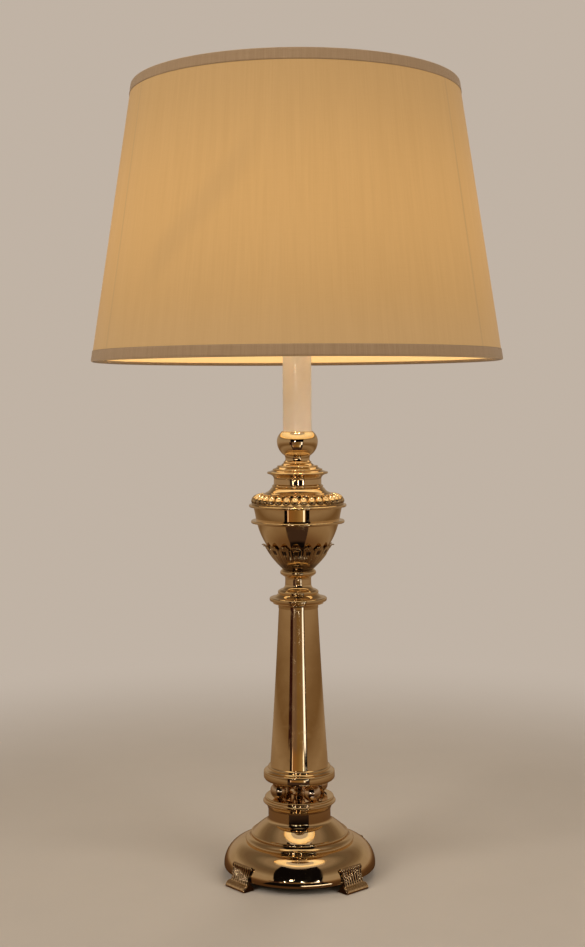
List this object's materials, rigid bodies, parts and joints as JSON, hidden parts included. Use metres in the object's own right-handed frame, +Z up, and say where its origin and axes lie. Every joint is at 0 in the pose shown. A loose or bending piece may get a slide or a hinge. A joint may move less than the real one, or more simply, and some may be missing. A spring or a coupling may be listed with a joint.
{
  "type": "candlestick table lamp",
  "caption": "Polished brass candlestick table lamp on cast feet, with a leaf-and-bead urn, an ivory candle and a lined silk cone shade.",
  "frame": {"origin": "on the table under the lamp's axis", "axes": "+Z up along the stem, -Y towards the front, where the switch knob points; the cord inlet points along +Y"},
  "size_m": [0.4531, 0.4532, 0.8878],
  "materials": {
    "polished_brass": "polished and lacquered",
    "iron": "as cast, painted black",
    "felt": "pressed wool felt",
    "black_plastic": "moulded",
    "ivory_candle": "satin ivory tube",
    "steel": "zinc plated",
    "wire": "cream powder coat",
    "liner_board": "pressed insulating board",
    "socket_block": "moulded phenolic",
    "aluminium": "pressed",
    "solder": "soldered",
    "bulb_glass": "frosted, lit",
    "silk": "slub silk on a clear liner",
    "trim_tape": "folded woven tape"
  },
  "bodies": {
    "stand": {"base_dome": "polished_brass", "base_felt": "felt", "base_neck": "polished_brass", "base_nut": "steel", "base_washer": "steel", "base_weight": "iron", "bead_ring": "polished_brass", "candle_cap": "polished_brass", "candle_cup": "polished_brass", "candle_tube": "ivory_candle", "centre_rod": "steel", "column": "polished_brass", "column_base_ring": "polished_brass", "column_capital": "polished_brass", "cord_inlet": "black_plastic", "cup_nut": "steel", "foot_front_left": "polished_brass", "foot_front_right": "polished_brass", "foot_rear_left": "polished_brass", "foot_rear_right": "polished_brass", "foot_screws": "polished_brass", "gallery_ball_1": "polished_brass", "gallery_ball_2": "polished_brass", "gallery_ball_3": "polished_brass", "gallery_ball_4": "polished_brass", "gallery_dish": "polished_brass", "gallery_spindle": "polished_brass", "harp": "polished_brass", "harp_saddle": "polished_brass", "leaf_calyx": "polished_brass", "neck_spool": "polished_brass", "socket_cap": "polished_brass", "socket_contact": "polished_brass", "socket_core": "socket_block", "socket_liner": "liner_board", "socket_screw_shell": "aluminium", "socket_shell": "polished_brass", "urn_bowl": "polished_brass", "urn_cover": "polished_brass"},
    "shade": {"shade_cover": "silk", "trim_bottom": "trim_tape", "trim_top": "trim_tape", "shade_ring_bottom": "wire", "shade_ring_top": "wire", "shade_strut_rear": "wire", "shade_strut_front_left": "wire", "shade_strut_front_right": "wire", "shade_spider": "polished_brass"},
    "finial": {"finial": "polished_brass"},
    "bulb": {"bulb_glass": "bulb_glass", "bulb_base": "aluminium", "bulb_contact": "solder"},
    "switch": {"switch_shaft": "steel", "switch_knob": "black_plastic"},
    "harp_sleeve_left": {"harp_sleeve_left": "polished_brass"},
    "harp_sleeve_right": {"harp_sleeve_right": "polished_brass"}
  },
  "joints": [
    {"name": "shade_swivel", "type": "hinge", "parent": "stand", "child": "shade", "pos_m": [0, 0, 0.8541], "axis": [0, 0, 1], "continuous": true},
    {"name": "finial_turn", "type": "hinge", "parent": "stand", "child": "finial", "pos_m": [0, 0, 0.8558], "axis": [0, 0, 1], "continuous": true},
    {"name": "bulb_turn", "type": "hinge", "parent": "stand", "child": "bulb", "pos_m": [0, 0, 0.6668], "axis": [0, 0, 1], "continuous": true},
    {"name": "switch_turn", "type": "hinge", "parent": "stand", "child": "switch", "pos_m": [0, -0.0168, 0.6582], "axis": [0, -1, 0], "continuous": true},
    {"name": "sleeve_left_slide", "type": "slide", "parent": "stand", "child": "harp_sleeve_left", "axis": [0, 0, 1], "range_m": [0, 0.012]},
    {"name": "sleeve_right_slide", "type": "slide", "parent": "stand", "child": "harp_sleeve_right", "axis": [0, 0, 1], "range_m": [0, 0.012]}
  ]
}
